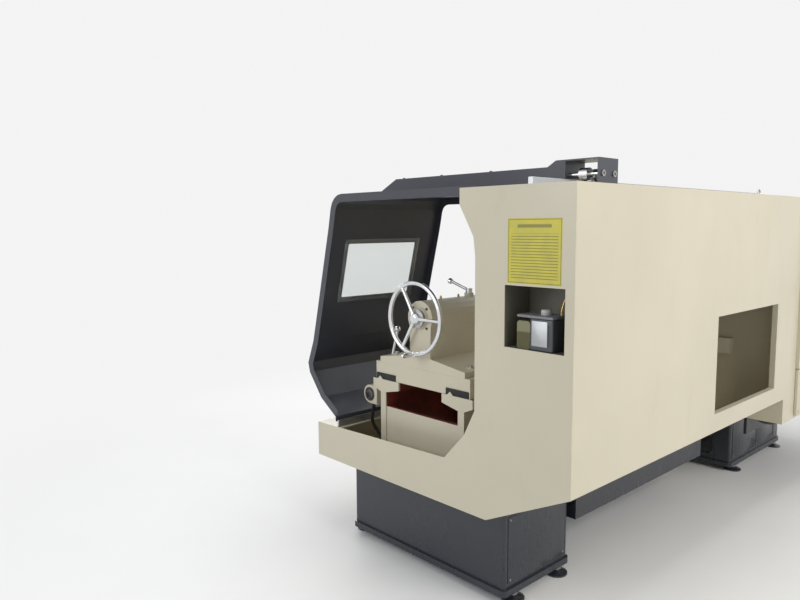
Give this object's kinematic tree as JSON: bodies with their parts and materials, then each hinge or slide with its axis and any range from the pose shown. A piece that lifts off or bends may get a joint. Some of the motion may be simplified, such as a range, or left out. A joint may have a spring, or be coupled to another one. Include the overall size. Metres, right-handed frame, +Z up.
{
  "type": "cnc turning lathe",
  "caption": "Semi-enclosed flat-bed turning lathe with a sliding hood over the ways, a rear splash guard with an end pocket, a cabinet at the headstock and a chip tray on pedestals.",
  "frame": {"origin": "centre of the bounding box on the floor", "axes": "+X along the spindle axis from the headstock to the tailstock, -Y to the operator, +Z up"},
  "size_m": [3.36, 1.63, 1.8003],
  "materials": {
    "cream": "semi-gloss ivory paint",
    "charcoal": "semi-gloss charcoal paint",
    "black": "black paint",
    "dark_grey": "dark grey paint",
    "ground_steel": "ground steel",
    "chrome": "polished chrome plate",
    "cast": "bare cast iron",
    "galvanised": "galvanised sheet",
    "rubber": "black rubber",
    "red_plastic": "red plastic",
    "green_plastic": "green plastic",
    "black_plastic": "black plastic",
    "olive_plastic": "translucent olive plastic",
    "window": "clear polycarbonate"
  },
  "bodies": {
    "frame": {"pedestal_tail": "black", "pedestal_head": "black", "chip_tray": "cream", "coolant_tank": "black", "coolant_pump": "dark_grey", "bed": "cream", "bed_head": "cream", "rear_guard": "cream", "end_panel": "cream", "lubricator": "dark_grey", "lubricator_reservoir": "olive_plastic", "top_rail": "ground_steel", "bottom_rail": "ground_steel", "cabinet_shell": "cream", "control_gear": "galvanised", "headstock": "cream", "head_cover": "cream", "control_box": "cream", "main_motor": "dark_grey", "screw_bracket_tail": "cream", "screw_bracket_head": "cream", "z_motor": "black", "conduit": "rubber", "drive_belt": "rubber"},
    "hood": {"hood_shell": "charcoal", "hood_window": "window", "hood_beam": "charcoal", "hood_handle": "chrome"},
    "roller_a": {"hood_roller_a": "chrome"},
    "roller_b": {"hood_roller_b": "chrome"},
    "cabinet_door": {"cabinet_door": "cream"},
    "cabinet_latch": {"cabinet_latch": "black_plastic"},
    "end_cover": {"end_cover": "cream"},
    "spindle": {"spindle": "ground_steel", "chuck_body": "ground_steel", "spindle_pulley": "cast"},
    "jaw_a": {"chuck_jaw_a": "ground_steel"},
    "jaw_b": {"chuck_jaw_b": "ground_steel"},
    "jaw_c": {"chuck_jaw_c": "ground_steel"},
    "motor_pulley": {"motor_pulley": "cast"},
    "z_screw": {"z_screw": "ground_steel"},
    "carriage": {"saddle": "cream", "x_motor": "black"},
    "x_screw": {"x_screw": "ground_steel"},
    "cross_slide": {"cross_slide": "ground_steel", "turret_base": "cast"},
    "turret": {"turret_head": "ground_steel"},
    "tailstock": {"tailstock_base": "cream", "tailstock_body": "cream"},
    "handwheel": {"handwheel": "chrome"},
    "crank": {"crank_handle": "chrome"},
    "quill": {"quill": "ground_steel"},
    "centre": {"live_centre": "ground_steel"},
    "quill_lever": {"quill_lever": "chrome"},
    "clamp_lever": {"clamp_lever": "chrome"},
    "start_button": {"start_button": "green_plastic"},
    "stop_button": {"stop_button": "red_plastic"},
    "emergency_stop": {"emergency_stop": "red_plastic"},
    "override_knob": {"override_knob": "black_plastic"},
    "pulse_dial": {"pulse_dial": "black_plastic"}
  },
  "joints": [
    {"name": "hood_slide", "type": "slide", "parent": "frame", "child": "hood", "axis": [1, 0, 0], "range_m": [-1.26, 0]},
    {"name": "roller_a_roll", "type": "hinge", "parent": "hood", "child": "roller_a", "pos_m": [1.234, 0.575, 1.7406], "axis": [0, 1, 0], "range_deg": [-2890, 10]},
    {"name": "roller_b_roll", "type": "hinge", "parent": "hood", "child": "roller_b", "pos_m": [1.314, 0.575, 1.7406], "axis": [0, 1, 0], "range_deg": [-2890, 10]},
    {"name": "cabinet_door_hinge", "type": "hinge", "parent": "frame", "child": "cabinet_door", "pos_m": [-1.432, 0.787, 1.179], "axis": [0, 0, 1], "range_deg": [0, 100]},
    {"name": "cabinet_latch_turn", "type": "hinge", "parent": "cabinet_door", "child": "cabinet_latch", "pos_m": [-0.6203, 0.7933, 1.179], "axis": [0, 1, 0], "range_deg": [0, 90]},
    {"name": "end_cover_hinge", "type": "hinge", "parent": "frame", "child": "end_cover", "pos_m": [-1.489, 0.682, 1.0427], "axis": [0, 0, -1], "range_deg": [0, 90]},
    {"name": "spindle_spin", "type": "hinge", "parent": "frame", "child": "spindle", "pos_m": [-0.6, -0.11, 1.1303], "axis": [1, 0, 0], "continuous": true},
    {"name": "jaw_a_slide", "type": "slide", "parent": "spindle", "child": "jaw_a", "axis": [0, 0, 1], "range_m": [-0.004, 0.004]},
    {"name": "jaw_b_slide", "type": "slide", "parent": "spindle", "child": "jaw_b", "axis": [0, -0.866, -0.5], "range_m": [-0.004, 0.004]},
    {"name": "jaw_c_slide", "type": "slide", "parent": "spindle", "child": "jaw_c", "axis": [0, 0.866, -0.5], "range_m": [-0.004, 0.004]},
    {"name": "motor_spin", "type": "hinge", "parent": "frame", "child": "motor_pulley", "pos_m": [-1.56, 0.55, 0.42], "axis": [1, 0, 0], "continuous": true},
    {"name": "z_screw_turn", "type": "hinge", "parent": "frame", "child": "z_screw", "pos_m": [0.5, -0.482, 0.7143], "axis": [1, 0, 0], "range_deg": [-6130, 15130]},
    {"name": "carriage_slide", "type": "slide", "parent": "frame", "child": "carriage", "axis": [1, 0, 0], "range_m": [-0.17, 0.42]},
    {"name": "x_screw_turn", "type": "hinge", "parent": "carriage", "child": "x_screw", "pos_m": [0.06, -0.2, 0.8873], "axis": [0, 1, 0], "range_deg": [-8290, 8650]},
    {"name": "cross_slide_travel", "type": "slide", "parent": "carriage", "child": "cross_slide", "axis": [0, 1, 0], "range_m": [-0.115, 0.12]},
    {"name": "turret_turn", "type": "hinge", "parent": "cross_slide", "child": "turret", "pos_m": [0.06, -0.32, 1.1], "axis": [0, 0, 1], "continuous": true},
    {"name": "tailstock_slide", "type": "slide", "parent": "frame", "child": "tailstock", "axis": [1, 0, 0], "range_m": [-0.22, 0]},
    {"name": "handwheel_turn", "type": "hinge", "parent": "tailstock", "child": "handwheel", "pos_m": [1.59, -0.11, 1.1303], "axis": [-1, 0, 0], "range_deg": [0, 10800]},
    {"name": "quill_slide", "type": "slide", "parent": "tailstock", "child": "quill", "axis": [-1, 0, 0], "range_m": [-0.0005, 0.1505]},
    {"name": "crank_spin", "type": "hinge", "parent": "handwheel", "child": "crank", "pos_m": [1.64, -0.11, 0.9703], "axis": [1, 0, 0], "continuous": true},
    {"name": "centre_spin", "type": "hinge", "parent": "quill", "child": "centre", "pos_m": [1.1, -0.11, 1.1303], "axis": [1, 0, 0], "continuous": true},
    {"name": "quill_lever_turn", "type": "hinge", "parent": "tailstock", "child": "quill_lever", "pos_m": [1.225, -0.11, 1.223], "axis": [0, 0, 1], "range_deg": [0, 80]},
    {"name": "clamp_lever_turn", "type": "hinge", "parent": "tailstock", "child": "clamp_lever", "pos_m": [1.455, -0.4123, 0.85705], "axis": [0, 1, 0], "range_deg": [0, 60]},
    {"name": "start_press", "type": "slide", "parent": "frame", "child": "start_button", "axis": [0, 1, 0], "range_m": [0, 0.004], "stiffness_N_per_m": 400},
    {"name": "stop_press", "type": "slide", "parent": "frame", "child": "stop_button", "axis": [0, 1, 0], "range_m": [0, 0.004], "stiffness_N_per_m": 400},
    {"name": "emergency_stop_press", "type": "slide", "parent": "frame", "child": "emergency_stop", "axis": [0, 1, 0], "range_m": [0, 0.006]},
    {"name": "override_turn", "type": "hinge", "parent": "frame", "child": "override_knob", "pos_m": [-0.83, -0.7653, 1.13], "axis": [0, -1, 0], "range_deg": [-135, 135]},
    {"name": "pulse_dial_turn", "type": "hinge", "parent": "frame", "child": "pulse_dial", "pos_m": [-0.725, -0.7653, 1.13], "axis": [0, -1, 0], "continuous": true}
  ],
  "couplings": [
    {"joint": "roller_a_roll", "follows": "hood_slide", "rad_per_m": 40},
    {"joint": "roller_b_roll", "follows": "hood_slide", "rad_per_m": 40},
    {"joint": "jaw_b_slide", "follows": "jaw_a_slide", "ratio": 1},
    {"joint": "jaw_c_slide", "follows": "jaw_a_slide", "ratio": 1},
    {"joint": "motor_spin", "follows": "spindle_spin", "ratio": 2.0606},
    {"joint": "z_screw_turn", "follows": "carriage_slide", "rad_per_m": 628.32},
    {"joint": "x_screw_turn", "follows": "cross_slide_travel", "rad_per_m": 1256.6},
    {"joint": "quill_slide", "follows": "handwheel_turn", "m_per_rad": 0.00079577}
  ]
}
